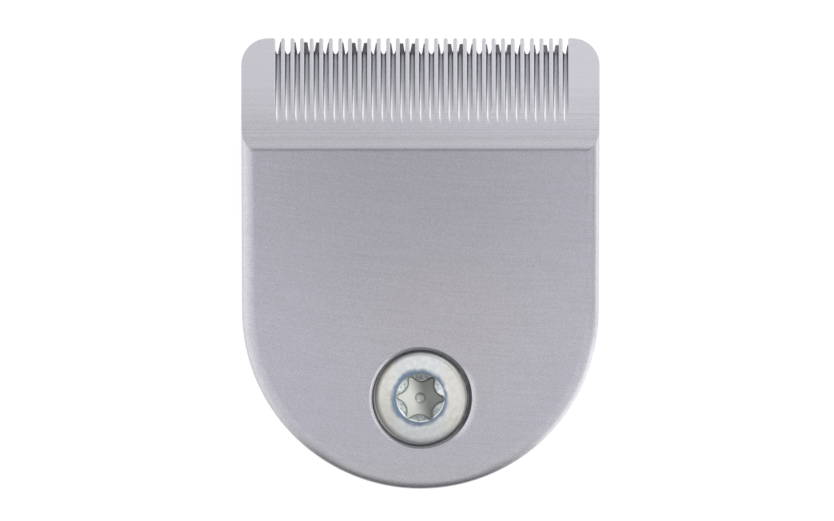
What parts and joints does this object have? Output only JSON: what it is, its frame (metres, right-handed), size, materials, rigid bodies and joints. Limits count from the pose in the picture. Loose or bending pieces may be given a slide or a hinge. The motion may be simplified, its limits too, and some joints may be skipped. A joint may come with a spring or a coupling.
{
  "type": "hair clipper blade",
  "caption": "Tongue-shaped steel comb with ground bevel and fine teeth, a sliding toothed cutter behind it, and a spring, screw and clip-on plastic carrier.",
  "frame": {"origin": "middle of the carrier's rear side, at the bottom of the bounding box", "axes": "+Y towards the tooth tips, +Z out of the comb's front face, +X along the tooth row to the right seen from the front"},
  "size_m": [0.032, 0.0402, 0.0102],
  "materials": {
    "comb_steel": "tumbled face with a ground bevel",
    "cutter_steel": "lapped",
    "driver_plastic": "moulded, natural white",
    "plated_screw": "bright plating",
    "carrier_plastic": "moulded, fine texture",
    "insert_brass": "turned",
    "spring_steel": "rolled strip"
  },
  "bodies": {
    "base": {"carrier": "carrier_plastic", "comb_blade": "comb_steel", "comb_screw": "plated_screw", "threaded_insert": "insert_brass", "pressure_spring": "spring_steel"},
    "cutter": {"cutter_blade": "cutter_steel", "cutter_driver": "driver_plastic"}
  },
  "joints": [
    {"name": "cutter_slide", "type": "slide", "parent": "base", "child": "cutter", "axis": [1, 0, 0], "range_m": [-0.0011, 0.0011]}
  ]
}
